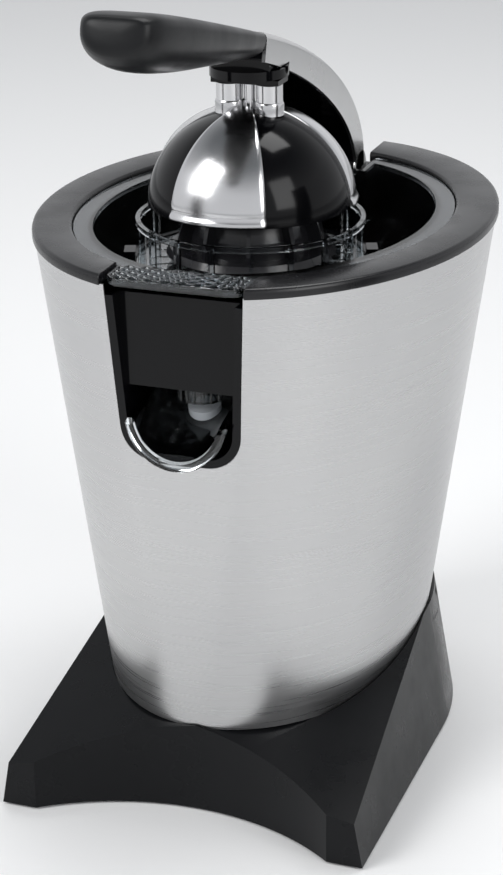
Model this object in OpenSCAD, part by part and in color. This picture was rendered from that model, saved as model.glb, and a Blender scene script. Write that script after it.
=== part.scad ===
// Lever citrus press: an oval steel body on a splayed black base, a clear juice bowl
// with a drip-stop spout, a motor-driven reamer, and a hinged lever that carries a
// self-aligning press dome. Origin: on the table, under the middle of the body.
// The front faces -Y, and +Z is up.

/* [Body] */
// Width of the rim ring, side to side
rim_w = 200; // [190:1:260]
// Depth of the rim ring, front to back
rim_d = 250; // [244:1:300]
// Width of the steel body where it meets the base
foot_w = 140.8; // [134:0.2:180]
// Depth of the steel body where it meets the base
foot_d = 202; // [194:1:240]
// Height of the top of the rim ring above the table
rim_z = 252; // [240:0.4:303.2]
// Thickness of the rim ring
rim_t = 4.5; // [3.5:0.5:7]
// Sheet thickness of the steel body
shell_t = 1.0; // [0.6:0.1:2]
// Overhang of the rim ring outside the steel
rim_over = 1.0; // [0.5:0.1:2]
// How far the flat front face is set back from the oval at the top
face_cut_top = 7.4; // [5:0.1:9]
// Wall of the black plastic mouldings
wall = 2.0; // [1.6:0.1:3]

/* [Base] */
// Half width of the base on the table
base_half_w = 84.4; // [80:0.2:110]
// Inward lean of the side panels, as a slope
side_lean = 0.183; // [0.1:0.001:0.2]
// Height of the front toes
toe_h = 22; // [16:1:30]
// Height of the ridge where it reaches the body
ridge_h = 59; // [50:1:66]
// Height at which the steel body sits in the base
seat_z = 41.7; // [36:0.1:46]
// Half of the gap between the two front toes
toe_gap_half = 68; // [60:1:70]
// Depth of the front arch behind the toes
arch_depth = 23; // [18:1:26]
// Reach of the toes in front of the middle
toe_reach = 125; // [118:1:150]
// Reach of the rear skirt behind the middle
skirt_reach = 113; // [108:1:140]
// Wall of the base at the table
base_wall = 9; // [7:0.5:12]
// Radius of a rubber foot
pad_r = 6; // [4:0.5:8]

/* [Spout] */
// Half width of the front opening at the top
mouth_half_top = 30.3; // [27:0.1:34]
// Half width of the front opening at the bottom
mouth_half_low = 26.7; // [25:0.1:30]
// Lowest point of the front opening, measured down from the rim
mouth_drop = 82; // [76:1:96]
// Corner radius of the front opening
mouth_r = 16; // [8:1:20]
// Width of the black lip around the opening
lip_w = 3.6; // [3:0.1:5]
// Depth of the spout recess behind the front face
recess_depth = 51; // [50:1:58]
// Outer radius of the spout trough
trough_r = 21; // [18:0.5:22]
// Wall of the spout trough
trough_wall = 2.2; // [1.6:0.1:3]
// Downward slope of the trough, and the angle through which it flips up
trough_slope = 14; // [10:1:16]
// How far the trough reaches out past the front face
trough_out = 9; // [4:1:16]
// Outer radius of the juice outlet tube
tube_r = 10.5; // [8:0.5:12]
// Bore radius of the juice outlet tube
tube_bore_r = 6; // [4:0.5:7]
// Length of the outlet tube below the bowl
tube_len = 14; // [12:1:16]

/* [Bowl] */
// Width of the rim ring at the sides
ring_side = 18; // [14:1:24]
// Width of the rim ring at the front
ring_front = 18; // [14:1:24]
// Width of the rim ring at the back
ring_back = 24; // [20:1:30]
// Width of the clear flange of the bowl
flange_w = 9; // [6:0.5:12]
// Depth of the bowl under its flange
bowl_depth = 43; // [38:1:48]
// Wall of the clear juice bowl
bowl_wall = 2.0; // [1.5:0.1:3]
// Radius of the strainer basket
strainer_r = 50; // [46:0.5:54]
// Number of ribs around the strainer
strainer_ribs = 18; // [12:1:24]
// Radius of the reamer skirt
reamer_r = 37; // [32:0.5:39]
// Height of the reamer cone
reamer_h = 52; // [44:1:52]

/* [Lever] */
// Half width of the lever arm
arm_half_w = 15; // [13.5:0.5:18]
// Wall of the arm cover
arm_wall = 1.6; // [1.2:0.1:2.4]
// Upward slope of the grip towards the front
grip_slope = 14.5; // [10:0.5:18]
// Length of the grip
grip_len = 126; // [110:1:160]
// Half width of the grip at its widest
grip_half_w = 18.5; // [17:0.5:22]
// Distance of the hinge axis in from the back of the rim
hinge_inset = 35; // [28:0.5:38]
// Height of the hinge axis below the top of the rim
hinge_drop = 5; // [4:0.5:6]
// Radius of the lever boss around the hinge
hinge_boss_r = 8.5; // [7:0.5:9]
// Radius of the hinge pin
hinge_pin_r = 3; // [2:0.1:4]
// Radius of the press dome at its edge
dome_r = 47; // [44:0.5:52]
// Height of the press dome
dome_h = 43; // [40:0.5:48]
// Gap between the rim and the edge of the dome
dome_lift = 8; // [7:0.5:10]
// Half angle covered by each steel petal of the dome
petal_half = 28; // [20:1:40]
// Radius of the two chrome posts
post_r = 5.8; // [5:0.1:6.4]
// Half of the distance between the chrome posts
post_half = 9; // [8:0.5:10]

/* [Drive] */
// Radius of the drive shaft
shaft_r = 3.9; // [3.5:0.1:4.4]
// Travel of the reamer when the fruit presses it down
press_travel = 2.5; // [1.5:0.1:3]
// Radius of the motor can
motor_r = 31; // [26:0.5:32]
// Length of the motor can
motor_len = 66; // [56:1:72]
// Gear module of the motor stage
mod_a = 1.0; // [1:0.05:1.1]
// Gear module of the output stage
mod_b = 1.25; // [1.2:0.05:1.3]

/* [Fits] */
// Radial clearance of a turning fit
run_gap = 0.05; // [0.03:0.01:0.09]
// Clearance between parts that sit in one another
seat_gap = 0.4; // [0.3:0.05:0.6]
// Clearance beside moving parts
move_gap = 1.5; // [1:0.1:2]

/* [Hidden] */
$fn = 64;
eps = 0.01;
far = 400;
OVAL_N = 96;

// Levels
ring_low = rim_z - rim_t;
plate_t = 3.5;
plate_top = ring_low - 0.4;
plate_low = plate_top - plate_t;
flange_t = 2.6;
flange_low = plate_top + 0.3;
bowl_floor_low = ring_low - bowl_depth + 1;
well_floor_top = bowl_floor_low - 0.3;
well_floor_t = 3.2;
well_floor_low = well_floor_top - well_floor_t;
tube_low = bowl_floor_low - tube_len;
mouth_low = rim_z - mouth_drop;

// Sizes of the tapered oval at a height
function lerp(a, b, t) = a + (b - a) * t;
function level(z) = (z - seat_z) / (ring_low - seat_z);
function half_w(z) = lerp(foot_w / 2, rim_w / 2 - rim_over, level(z));
function half_d(z) = lerp(foot_d / 2, rim_d / 2 - rim_over, level(z));
function face_y(z) = lerp(-foot_d / 2 - 0.2, -rim_d / 2 + rim_over + face_cut_top, level(z));

// Front-to-back places
recess_back = face_y(mouth_low) + recess_depth;
press_y = recess_back + 36;
tube_y = face_y(tube_low) + 27;
hinge_y = rim_d / 2 - hinge_inset;
hinge_z = rim_z - hinge_drop;

// Bowl opening: an oval set forward because the ring is wider at the back
well_a = rim_w / 2 - ring_side;
well_b = (rim_d - ring_front - ring_back) / 2;
well_y = (ring_front - ring_back) / 2;
bowl_a = well_a - flange_w;
bowl_b = well_b - flange_w;
bowl_low_a = bowl_a - 9;
bowl_low_b = bowl_b - 3;
bowl_low_y = well_y - 3;

// Gear train: tooth counts, centre distances and levels
PINION_T = 14;
LAY_BIG_T = 46;
LAY_SMALL_T = 14;
OUTPUT_T = 44;
pressure = 25;
lay_y = press_y + mod_b * (LAY_SMALL_T + OUTPUT_T) / 2;
motor_y = lay_y + mod_a * (PINION_T + LAY_BIG_T) / 2;
case_top = well_floor_low - 3;
case_h = 40;
case_low = case_top - case_h;
case_wall = 3;
case_r = mod_b * (OUTPUT_T / 2 + 1) + case_wall + 1.2;
lid_t = 3;
stage_a = case_low + case_wall + 3;
stage_a_h = 7;
stage_b = stage_a + stage_a_h + 4;
stage_b_h = 12;
lay_pin_r = 3;
motor_shaft_r = 2.5;
motor_top = case_low - 4;
motor_low = motor_top - motor_len;
bush_r = shaft_r + 3;

// Reamer and strainer levels
tower_top = ring_low - 16;
strainer_low = tower_top + 0.3;
strainer_t = 2;
reamer_low = strainer_low + strainer_t + press_travel + 1.6;
shaft_low = case_low + case_wall + 7;
collar_h = 2;

// Press dome and lever
dome_low = rim_z + dome_lift;
dome_top = dome_low + dome_h;
dome_t = 2.2;
petal_t = 1.6;
mount_z = dome_top + 12.5;
mount_h = 4;
mount_r = 17;
block_half = arm_half_w - arm_wall - 0.4;
block_depth = 11;
block_top = mount_z + 9.5;
tilt_z = mount_z + 3.2;
tilt_pin_r = 2;
joint_y = press_y - 18.7;
joint_z = dome_top + 34.8;
grip_front_w = 12;

// Spout hinge and trough
spout_y = recess_back - 9;
pad_h = 4;
spout_z = tube_low + 6.8;
trough_low = spout_z - tube_low + pad_h + 0.4;
trough_front = face_y(spout_z - 20) - trough_out;
trough_top = spout_z + 3;
spout_pin_r = 1.5;

// ---------- shared shapes ----------

function oval(a, b) = [for (i = [0:OVAL_N - 1]) [a * cos(360 * i / OVAL_N), b * sin(360 * i / OVAL_N)]];

module oval_plate(a, b, z, h, y = 0)
  translate([0, y, z]) linear_extrude(h) polygon(oval(a, b));

module oval_taper(a0, b0, y0, z0, a1, b1, y1, z1)
  hull() {
    oval_plate(a0, b0, z0, eps, y0);
    oval_plate(a1, b1, z1 - eps, eps, y1);
  }

// Side profile in Y and Z, extruded to both sides of the middle
module side_extrude(half)
  rotate([90, 0, 90]) translate([0, 0, -half]) linear_extrude(2 * half) children();

// Front profile in X and Z, extruded from y0 back to y1
module front_extrude(y0, y1)
  translate([0, y1, 0]) rotate([90, 0, 0]) linear_extrude(y1 - y0) children();

// Everything behind the sloping front face
module behind_face(inset = 0)
  side_extrude(far / 2) polygon([
    [face_y(0) + inset, 0], [face_y(rim_z) + inset, rim_z], [far, rim_z], [far, 0]
  ]);

// The solid inside the steel body, made smaller all round by inset
module body_form(inset, z0, z1)
  intersection() {
    oval_taper(half_w(z0) - inset, half_d(z0) - inset, 0, z0,
               half_w(z1) - inset, half_d(z1) - inset, 0, z1);
    behind_face(inset);
  }

// Outline of the front opening, made smaller all round by inset
module mouth_outline(inset = 0) {
  r = mouth_r - inset;
  hull() {
    for (side = [-1, 1])
      translate([side * (mouth_half_low - mouth_r), mouth_low + mouth_r]) circle(r, $fn = 40);
    translate([-mouth_half_top + inset, rim_z]) square([2 * (mouth_half_top - inset), 1]);
  }
}

module rod_x(r, half, y, z) translate([-half, y, z]) rotate([0, 90, 0]) cylinder(r = r, h = 2 * half);

module ring_z(r_out, r_in, z, h) translate([0, 0, z]) difference() {
  cylinder(r = r_out, h = h);
  translate([0, 0, -1]) cylinder(r = r_in, h = h + 2);
}

// Pan-head screw with its head at z pointing down, shank going up
module screw_up(x, y, z, r, len, head_r, head_h) translate([x, y, z]) {
  translate([0, 0, -head_h]) cylinder(r = head_r, h = head_h);
  cylinder(r = r, h = len);
}

// Involute gear flat outline
function inv_angle(r, rb) = let (c = sqrt(max(0, pow(r / rb, 2) - 1))) c * 180 / PI - atan(c);
function gear_points(teeth, m, backlash) = let (
    rp = m * teeth / 2, rb = rp * cos(pressure), ra = rp + 0.9 * m, rf = rp - 1.2 * m,
    half = 90 / teeth + inv_angle(rp, rb) - backlash / 2 / rp * 180 / PI,
    r0 = max(rb, rf), steps = 4,
    flank = [for (i = [0:steps]) let (r = lerp(r0, ra, i / steps)) [r, half - inv_angle(r, rb)]])
  [for (k = [0:teeth - 1]) let (c = 360 * k / teeth)
    each concat(
      [[rf * cos(c - half - 0.4), rf * sin(c - half - 0.4)]],
      [for (i = [0:steps]) [flank[i][0] * cos(c - flank[i][1]), flank[i][0] * sin(c - flank[i][1])]],
      [for (i = [steps:-1:0]) [flank[i][0] * cos(c + flank[i][1]), flank[i][0] * sin(c + flank[i][1])]],
      [[rf * cos(c + half + 0.4), rf * sin(c + half + 0.4)]])];

module gear(teeth, m, h, phase = 0)
  rotate([0, 0, phase]) linear_extrude(h) polygon(gear_points(teeth, m, 0.2));

// ---------- base ----------

// Roof height along the ridge and towards the middle of the base
ridge_slope = (ridge_h - toe_h) / (toe_reach + 5);
roof_k = 0.18;
function side_x(z) = base_half_w - side_lean * z;
function ridge_z(y) = toe_h + ridge_slope * (y + toe_reach);

// Pentagon across the base at y: two leaning sides under a shallow roof
module base_slice(y, drop) {
  z = ridge_z(y) - drop;
  translate([0, y + eps, 0]) rotate([90, 0, 0]) linear_extrude(eps) polygon([
    [-side_x(base_low), base_low], [side_x(base_low), base_low],
    [side_x(z), z], [0, z + roof_k * side_x(z)], [-side_x(z), z]
  ]);
}

base_low = 1.2;

// The whole outer form: splayed front under a shallow roof, rounded skirt behind
skirt_fall = 13;
half_oval_n = 48;
module half_oval(a, b, z)
  translate([0, 5, z]) linear_extrude(eps)
    polygon([for (i = [0:half_oval_n]) [a * cos(180 * i / half_oval_n), b * sin(180 * i / half_oval_n)]]);

module base_form(drop = 0)
  intersection() {
    hull() {
      base_slice(-toe_reach, drop);
      base_slice(5, drop);
      half_oval(side_x(base_low), skirt_reach - 5, base_low);
      half_oval(side_x(ridge_h), half_d(ridge_h) - 1, ridge_h - drop);
    }
    side_extrude(far / 2) polygon([
      [-far, 0], [-far, far], [0, far], [5, ridge_h - drop + 1.5],
      [skirt_reach + 5, ridge_h - skirt_fall - drop], [skirt_reach + 5, 0]
    ]);
  }

// Radius of the front arch, from its half chord and its depth
arch_r = (pow(toe_gap_half, 2) + pow(arch_depth, 2)) / (2 * arch_depth);
module arch_cut(grow = 0)
  translate([0, -toe_reach + arch_depth - arch_r, -1]) cylinder(r = arch_r + grow, h = ridge_h + 40, $fn = 120);

module base_plan(inset) {
  difference() {
    union() {
      translate([-base_half_w + inset, -toe_reach + inset])
        square([2 * (base_half_w - inset), toe_reach + 5 - inset + eps]);
      translate([0, 5]) intersection() {
        polygon(oval(base_half_w - inset, skirt_reach - 5 - inset));
        translate([-far / 2, 0]) square([far, far]);
      }
    }
    translate([0, -toe_reach + arch_depth - arch_r]) circle(arch_r + inset, $fn = 120);
  }
}

slab_t = 3.7;
slab_low = seat_z - slab_t;
frame_x = foot_w / 2 - 24.4;
frame_y = foot_d / 2 - 43;
frame_post_r = 6;
cover_t = 2.2;
cover_low = base_low + 1.6;
// Places of the four cover screws and the five rubber feet
cover_screw_at = [for (sx = [-1, 1]) each [
  [sx * (base_half_w - 26), 37 - toe_reach], [sx * (base_half_w - 22), skirt_reach - 83]
]];
pad_at = [[0, 0], for (sx = [-1, 1]) each [
  [sx * (base_half_w - 15.4), 19 - toe_reach], [sx * (base_half_w - 38), skirt_reach - 45]
]];
gland_z = 20;
gland_r = 7;

screw_r = 1.6;
boss_r = 4.5;

// The hollow under the seat slab, with four bosses left standing for the cover screws
module base_hollow() difference() {
  intersection() {
    translate([0, 0, cover_low + cover_t - 0.2])
      linear_extrude(slab_low - cover_low - cover_t + 0.2) base_plan(base_wall);
    base_form(4);
  }
  for (p = cover_screw_at) translate([p[0], p[1], cover_low + cover_t - 0.2])
    cylinder(r = boss_r, h = slab_low);
}

module base() color([0.12, 0.12, 0.13]) difference() {
  base_form();
  arch_cut();
  body_form(-seat_gap, seat_z, rim_z);
  base_hollow();
  for (p = cover_screw_at) translate([p[0], p[1], cover_low]) cylinder(r = screw_r + 0.05, h = 12, $fn = 24);
  // Rebate for the bottom cover
  translate([0, 0, -1]) linear_extrude(cover_low + cover_t + 0.8) base_plan(base_wall - 2);
  // Vent, frame screws, cord gland
  translate([0, 0, slab_low - 1]) cylinder(r = 30, h = slab_t + 2);
  for (sx = [-1, 1], sy = [-1, 1])
    translate([sx * frame_x, sy * frame_y, slab_low - 1]) cylinder(r = 2.2, h = slab_t + 2, $fn = 24);
  translate([0, skirt_reach - base_wall - 30, gland_z]) rotate([-90, 0, 0]) cylinder(r = gland_r + 0.1, h = 60);
}

module rubber_feet() color([0.08, 0.08, 0.08])
  for (p = pad_at) translate([p[0], p[1], 0]) cylinder(r = pad_r, h = cover_low, $fn = 32);

module bottom_cover() color([0.15, 0.15, 0.15]) difference() {
  translate([0, 0, cover_low]) linear_extrude(cover_t - 0.2) base_plan(base_wall - 2 + seat_gap);
  for (p = cover_screw_at) translate([p[0], p[1], 0]) cylinder(r = screw_r + 0.2, h = 20, $fn = 24);
  for (i = [-4:4], x = [-28, 10]) translate([x, i * 9 - 1.5 + 10, 0]) cube([18, 3, 20]);
}

module cover_screws() color([0.6, 0.6, 0.62])
  for (p = cover_screw_at) screw_up(p[0], p[1], cover_low, screw_r, 10, 3, 1.4);

module inner_frame() color([0.7, 0.7, 0.68]) difference() {
  union() {
    difference() {
      body_form(shell_t + seat_gap, seat_z, seat_z + 3);
      oval_plate(34, 66, seat_z - 1, 5);
    }
    for (sx = [-1, 1], sy = [-1, 1]) translate([sx * frame_x, sy * frame_y, seat_z])
      cylinder(r = frame_post_r, h = well_floor_low - seat_z);
  }
  for (sx = [-1, 1], sy = [-1, 1]) translate([sx * frame_x, sy * frame_y, 0]) {
    translate([0, 0, seat_z - 1]) cylinder(r = screw_r + 0.05, h = 13, $fn = 24);
    translate([0, 0, well_floor_low - 12]) cylinder(r = screw_r + 0.05, h = 13, $fn = 24);
  }
}

module frame_screws() color([0.6, 0.6, 0.62])
  for (sx = [-1, 1], sy = [-1, 1])
    screw_up(sx * frame_x, sy * frame_y, slab_low, screw_r, slab_t + 10, 3.2, 1.8);

module cord_gland() color([0.1, 0.1, 0.1])
  translate([0, skirt_reach, gland_z]) rotate([90, 0, 0]) difference() {
    union() {
      translate([0, 0, -1]) cylinder(r = gland_r, h = 22);
      translate([0, 0, 10 + base_wall]) cylinder(r = gland_r + 2.5, h = 3);
    }
    translate([0, 0, -5]) cylinder(r = 3.4, h = 40);
  }

// ---------- steel body, recess, ring and deck ----------

notch_half = arm_half_w + move_gap;
notch_low = hinge_z - 6;

// The slot at the back through which the lever swings
module lever_slot(z0)
  translate([-notch_half, hinge_y - hinge_boss_r - 2, z0]) cube([2 * notch_half, far, far]);

module body_shell() color([0.75, 0.75, 0.76]) difference() {
  body_form(0, seat_z, ring_low - 0.05);
  body_form(shell_t, seat_z - 1, ring_low + 1);
  front_extrude(-far, 0) mouth_outline();
  lever_slot(notch_low);
}

module spout_recess() color([0.06, 0.06, 0.07]) difference() {
  intersection() {
    front_extrude(-far, recess_back) mouth_outline(0.2);
    behind_face();
    union() {
      translate([-far / 2, -far / 2, 0]) cube([far, far, well_floor_low - 0.3]);
      translate([-far / 2, -far / 2, 0]) cube([far, far / 2 + upper_back_y, bridge_low - 0.3]);
    }
  }
  front_extrude(-far, upper_back_y - wall) mouth_outline(lip_w);
  intersection() {
    front_extrude(-far, recess_back - wall) mouth_outline(lip_w);
    translate([-far / 2, -far / 2, 0]) cube([far, far, well_floor_low + 1]);
  }
  rod_x(spout_pin_r, mouth_half_top, spout_y, spout_z);
}
upper_back_y = well_y - well_b - 0.8;
bridge_low = ring_low - 4.2;
gap_half = mouth_half_top + 0.7;

module ring_plan(a, b) difference() {
  polygon(oval(a, b));
  translate([0, well_y]) polygon(oval(well_a, well_b));
}

module rim_ring() color([0.13, 0.13, 0.14]) union() {
  difference() {
    translate([0, 0, ring_low]) linear_extrude(rim_t) ring_plan(rim_w / 2, rim_d / 2);
    translate([-gap_half, -far, ring_low - 1]) cube([2 * gap_half, far + well_y, 10]);
    lever_slot(ring_low - 1);
  }
  // Bar under the lip of the bowl that joins the two sides
  intersection() {
    difference() {
      translate([-gap_half - 6, -rim_d / 2, bridge_low])
        cube([2 * gap_half + 12, far, ring_low - bridge_low + eps]);
      translate([-gap_half, -far, bar_top]) cube([2 * gap_half, 2 * far, 10]);
    }
    body_form(shell_t + 0.3, bridge_low, ring_low + eps);
    translate([0, 0, bridge_low]) linear_extrude(10) difference() {
      square([far, far], center = true);
      translate([0, well_y]) polygon(oval(far / 4, well_b + 6));
      translate([-far / 2, 0]) square([far, far]);
    }
  }
}
bar_top = flange_low - 0.1;

pocket_half = notch_half + 1;
pocket_floor = hinge_z - 19;
bracket_t = 3;
// Outside of the hinge pocket, made bigger all round by grow
module pocket_box(grow)
  translate([-pocket_half - wall - grow, hinge_y - hinge_boss_r - 6 - grow, pocket_floor - wall - grow])
    cube([2 * (pocket_half + wall + grow), far, far]);

module deck() color([0.08, 0.08, 0.09]) difference() {
  union() {
    // Top plate inside the steel body
    difference() {
      body_form(shell_t + 0.4, plate_low, plate_top);
      translate([-gap_half - 7, -far, plate_low - 1])
        cube([2 * gap_half + 14, far + well_y - well_b + 2.5, 20]);
    }
    // Outer wall of the well
    oval_taper(bowl_low_a + bowl_wall + 1 + wall, bowl_low_b + bowl_wall + 1 + wall, bowl_low_y, well_floor_low,
               bowl_a + bowl_wall + 1 + wall, bowl_b + bowl_wall + 1 + wall, well_y, plate_top);
    // Pocket for the hinge bracket
    intersection() {
      pocket_box(0);
      body_form(shell_t + 0.4, pocket_floor - wall, plate_top);
    }
    translate([0, press_y, well_floor_low]) cylinder(r = bush_r + 2.5, h = well_floor_t + 8);
    for (sx = [-1, 1], dy = gear_ear_dy) translate([sx * ear_x, press_y + dy, case_top])
      cylinder(r = 5, h = well_floor_low - case_top + eps);
  }
  difference() {
    oval_taper(bowl_low_a + bowl_wall + 1, bowl_low_b + bowl_wall + 1, bowl_low_y, well_floor_top,
               bowl_a + bowl_wall + 1, bowl_b + bowl_wall + 1, well_y, plate_top + eps);
    translate([0, press_y, 0]) cylinder(r = bush_r + 2.5, h = well_floor_top + 5);
    pocket_box(0);
  }
  translate([0, press_y, 0]) cylinder(r = bush_r + 0.02, h = far);
  translate([0, tube_y, well_floor_low - 5]) cylinder(r = tube_r + 1, h = 20);
  for (sx = [-1, 1], sy = [-1, 1]) translate([sx * frame_x, sy * frame_y, 0]) {
    cylinder(r = 1.8, h = far, $fn = 24);
    translate([0, 0, well_floor_top - 2.4]) cylinder(r = 4, h = 4, $fn = 24);
  }
  for (sx = [-1, 1], dy = gear_ear_dy) translate([sx * ear_x, press_y + dy, case_top - 1])
    cylinder(r = screw_r + 0.05, h = 5.5, $fn = 24);
  // Inside of the hinge pocket
  translate([-pocket_half, hinge_y - hinge_boss_r - 4, pocket_floor])
    cube([2 * pocket_half, 2 * hinge_boss_r + 1.9, far]);
  lever_slot(notch_low);
  for (sx = [-1, 1]) translate([sx * bracket_screw_x, hinge_y, pocket_floor - 5])
    cylinder(r = screw_r + 0.05, h = 10, $fn = 24);
}
ear_x = case_r + 5;
gear_ear_dy = [0, motor_y - press_y];
bracket_screw_x = 14;
lug_half = 8.5;

module deck_screws() color([0.6, 0.6, 0.62])
  for (sx = [-1, 1], sy = [-1, 1]) translate([sx * frame_x, sy * frame_y, 0]) {
    translate([0, 0, well_floor_low - 9]) cylinder(r = screw_r, h = well_floor_t + 8, $fn = 24);
    translate([0, 0, well_floor_top - 2.4]) cylinder(r = 3.6, h = 2.2, $fn = 24);
  }

module hinge_bracket() color([0.1, 0.1, 0.11]) difference() {
  union() {
    translate([-pocket_half + 0.5, hinge_y - hinge_boss_r - 3, pocket_floor])
      cube([2 * pocket_half - 1, 2 * hinge_boss_r, bracket_t]);
    rod_x(hinge_boss_r - 1, lug_half, hinge_y, hinge_z);
    translate([-lug_half, hinge_y - 6, pocket_floor]) cube([2 * lug_half, 12, hinge_z - pocket_floor]);
  }
  rod_x(hinge_pin_r + run_gap, far, hinge_y, hinge_z);
  for (sx = [-1, 1]) translate([sx * bracket_screw_x, hinge_y, pocket_floor - 1])
    cylinder(r = screw_r + 0.1, h = 10, $fn = 24);
}

module bracket_screws() color([0.6, 0.6, 0.62])
  for (sx = [-1, 1]) translate([sx * bracket_screw_x, hinge_y, pocket_floor + bracket_t]) {
    translate([0, 0, -bracket_t - 1.8]) cylinder(r = screw_r, h = bracket_t + 2, $fn = 24);
    cylinder(r = 2.8, h = 1.6, $fn = 24);
  }

// ---------- gearbox and motor ----------

module case_plan(r) hull() {
  translate([0, press_y]) circle(r, $fn = 48);
  translate([0, motor_y]) circle(r, $fn = 48);
}

module gear_ears(z, h) for (sx = [-1, 1], dy = gear_ear_dy) translate([0, press_y + dy, z]) {
  translate([sx * ear_x, 0, 0]) cylinder(r = 5, h = h);
  translate([sx > 0 ? case_r - 4 : -ear_x, -5, 0]) cube([ear_x - case_r + 4, 10, h]);
}

module ear_holes() for (sx = [-1, 1], dy = gear_ear_dy)
  translate([sx * ear_x, press_y + dy, 0]) cylinder(r = screw_r + 0.1, h = far, $fn = 24);

module gearbox_case() color([0.55, 0.56, 0.58]) difference() {
  union() {
    translate([0, 0, case_low]) linear_extrude(case_h - lid_t) case_plan(case_r);
    gear_ears(case_top - lid_t - 4, 4);
  }
  translate([0, 0, case_low + case_wall]) linear_extrude(case_h) case_plan(case_r - case_wall);
  translate([0, press_y, 0]) cylinder(r = plunger_r + 0.4, h = far, $fn = 24);
  translate([0, motor_y, 0]) cylinder(r = motor_shaft_r + 2, h = far);
  translate([0, lay_y, case_low + 1]) cylinder(r = lay_pin_r, h = far);
  for (sx = [-1, 1]) translate([sx * motor_screw_x, motor_y, 0]) cylinder(r = screw_r + 0.1, h = far, $fn = 24);
  ear_holes();
}
plunger_r = 1.4;
motor_screw_x = motor_r - 7;

module gearbox_lid() color([0.5, 0.51, 0.53]) difference() {
  union() {
    translate([0, 0, case_top - lid_t]) linear_extrude(lid_t) case_plan(case_r);
    gear_ears(case_top - lid_t, lid_t);
  }
  translate([0, press_y, 0]) cylinder(r = bush_r + 0.02, h = far);
  translate([0, lay_y, 0]) cylinder(r = lay_pin_r, h = case_top - 1);
  ear_holes();
}

module gearbox_screws() color([0.6, 0.6, 0.62])
  for (sx = [-1, 1], dy = gear_ear_dy)
    screw_up(sx * ear_x, press_y + dy, case_top - lid_t - 4, screw_r, lid_t + 8, 3, 2);

// Bronze bush that carries the drive shaft, from the lid up through the deck
module output_bush() color([0.72, 0.52, 0.28])
  translate([0, press_y, 0])
    ring_z(bush_r, shaft_r + run_gap, case_top - lid_t, well_floor_top + 2 - case_top + lid_t);

module shaft_seal() color([0.5, 0.1, 0.08])
  translate([0, press_y, 0]) ring_z(bush_r, shaft_r + run_gap, well_floor_top + 2.1, 2.8);

module lay_pin() color([0.8, 0.8, 0.82])
  translate([0, lay_y, case_low + 1]) cylinder(r = lay_pin_r, h = case_h - 2);

module lay_gear() color([0.85, 0.82, 0.7]) translate([0, lay_y, 0]) difference() {
  union() {
    translate([0, 0, stage_a]) gear(LAY_BIG_T, mod_a, stage_a_h, lay_big_phase);
    translate([0, 0, stage_a + stage_a_h - 1]) cylinder(r = mod_b * (LAY_SMALL_T / 2 - 1.25), h = 5);
    translate([0, 0, stage_b - 1]) gear(LAY_SMALL_T, mod_b, stage_b_h + 2, 90);
  }
  cylinder(r = lay_pin_r + run_gap, h = far);
}
// A tooth of the pinion points back at a gap of the layshaft gear
lay_big_phase = 90 + 180 / LAY_BIG_T;

hex_r = shaft_r * 1.15;
module output_gear() color([0.9, 0.88, 0.78]) translate([0, press_y, 0]) difference() {
  union() {
    translate([0, 0, stage_b]) gear(OUTPUT_T, mod_b, stage_b_h, 90 + 180 / OUTPUT_T);
    translate([0, 0, stage_b - 2]) cylinder(r = 9, h = stage_b_h + 3);
  }
  cylinder(r = hex_r + 0.12, h = far, $fn = 6);
}

module drive_shaft() color([0.8, 0.8, 0.82]) translate([0, press_y, 0]) {
  translate([0, 0, shaft_low]) cylinder(r = 6.5, h = collar_h);
  translate([0, 0, shaft_low]) cylinder(r = hex_r, h = stage_b + stage_b_h + 1 - shaft_low, $fn = 6);
  translate([0, 0, shaft_low]) cylinder(r = shaft_r, h = reamer_low + 26 - shaft_low);
}

// Coil spring as one swept wire
spring_r = 4.6;
spring_wire = 0.45;
spring_turns = 3;
module press_spring() color([0.75, 0.75, 0.75]) translate([0, press_y, case_low + case_wall + spring_wire]) {
  rings = spring_turns * 16;
  rise = shaft_low - case_low - case_wall - 2 * spring_wire - 0.1;
  sides = 8;
  points = [for (i = [0:rings], j = [0:sides - 1])
    let (a = 360 * i * spring_turns / rings, b = 360 * j / sides, r = spring_r + spring_wire * cos(b))
      [r * cos(a), r * sin(a), rise * i / rings + spring_wire * sin(b)]];
  faces = concat(
    [[for (j = [0:sides - 1]) j]],
    [[for (j = [sides - 1:-1:0]) rings * sides + j]],
    [for (i = [0:rings - 1], j = [0:sides - 1]) let (a = i * sides + j, b = i * sides + (j + 1) % sides)
      each [[a, a + sides, b], [b, a + sides, b + sides]]]);
  polyhedron(points, faces);
}

switch_top = case_low - 0.1;
module microswitch() color([0.12, 0.2, 0.45]) translate([0, press_y, 0]) difference() {
  translate([-10, -3.4, switch_top - 14]) cube([20, 6.8, 14]);
  translate([0, 0, switch_top - 12]) cylinder(r = plunger_r + 0.15, h = 20, $fn = 24);
}

module switch_plunger() color([0.85, 0.1, 0.1]) translate([0, press_y, switch_top - 12 + press_travel + 0.3])
  cylinder(r = plunger_r, h = shaft_low - 0.05 - (switch_top - 12 + press_travel + 0.3), $fn = 24);

module motor_can() color([0.62, 0.63, 0.65]) translate([0, motor_y, 0]) difference() {
  translate([0, 0, motor_low]) cylinder(r = motor_r, h = motor_len);
  translate([0, 0, motor_low + 2]) cylinder(r = motor_r - 1.6, h = motor_len);
  translate([0, 0, motor_low - 1]) cylinder(r = motor_shaft_r + run_gap, h = 5);
}

module motor_cap() color([0.5, 0.5, 0.52]) translate([0, motor_y, 0]) difference() {
  translate([0, 0, motor_top]) cylinder(r = motor_r, h = case_low - motor_top);
  translate([0, 0, motor_top - 1]) cylinder(r = motor_shaft_r + run_gap, h = 8);
  for (sx = [-1, 1]) translate([sx * motor_screw_x, 0, 0]) cylinder(r = screw_r + 0.05, h = far, $fn = 24);
}

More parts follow.
